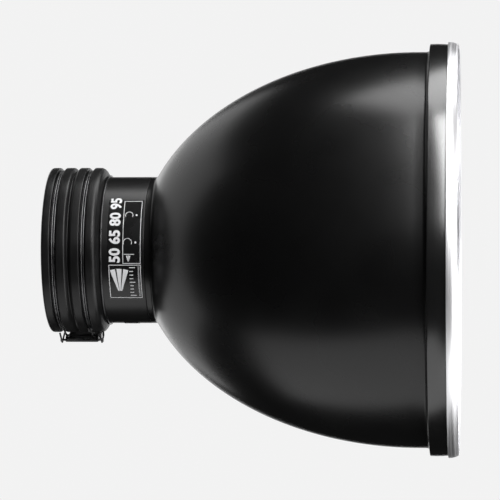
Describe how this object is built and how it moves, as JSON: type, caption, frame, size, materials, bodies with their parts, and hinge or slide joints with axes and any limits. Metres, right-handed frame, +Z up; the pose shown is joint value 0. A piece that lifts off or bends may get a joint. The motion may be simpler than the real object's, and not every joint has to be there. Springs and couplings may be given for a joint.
{
  "type": "studio flash reflector",
  "caption": "Deep elliptical zoom reflector for a studio flash head: black outside, silver inside, with a rubber clamp collar tightened by two wires and a cam lever.",
  "frame": {"origin": "middle of the rubber collar's bore, which grips the flash head", "axes": "+X along the reflector's axis towards its open mouth, +Z up, with the clamp's lever underneath at -Z"},
  "size_m": [0.2893, 0.2928, 0.2928],
  "materials": {
    "bowl_paint": "spun sheet, satin black paint outside and bright anodised silver inside",
    "bare_aluminium": "bare, brushed round",
    "neck_paint": "satin black paint",
    "ring_metal": "dark anodised",
    "collar_rubber": "matte black",
    "scale_film": "black film with pale line drawings",
    "rating_film": "blank black film",
    "wire_steel": "spring wire, dark zinc",
    "pin_steel": "turned, zinc plated",
    "lever_steel": "pressed, dark plated"
  },
  "bodies": {
    "reflector": {"reflector_bowl": "bowl_paint", "rim_trim_ring": "bare_aluminium", "neck_tube": "neck_paint", "collar_retaining_ring": "ring_metal", "rubber_collar": "collar_rubber", "beam_scale_label": "scale_film", "rating_label": "rating_film", "rear_clamp_wire": "wire_steel", "front_clamp_wire": "wire_steel", "fulcrum_pin": "pin_steel"},
    "lever": {"latch_lever": "lever_steel"}
  },
  "joints": [
    {"name": "lever_hinge", "type": "hinge", "parent": "reflector", "child": "lever", "pos_m": [0.0027, 0, -0.0642], "axis": [-1, 0, 0], "range_deg": [0, 120]}
  ]
}
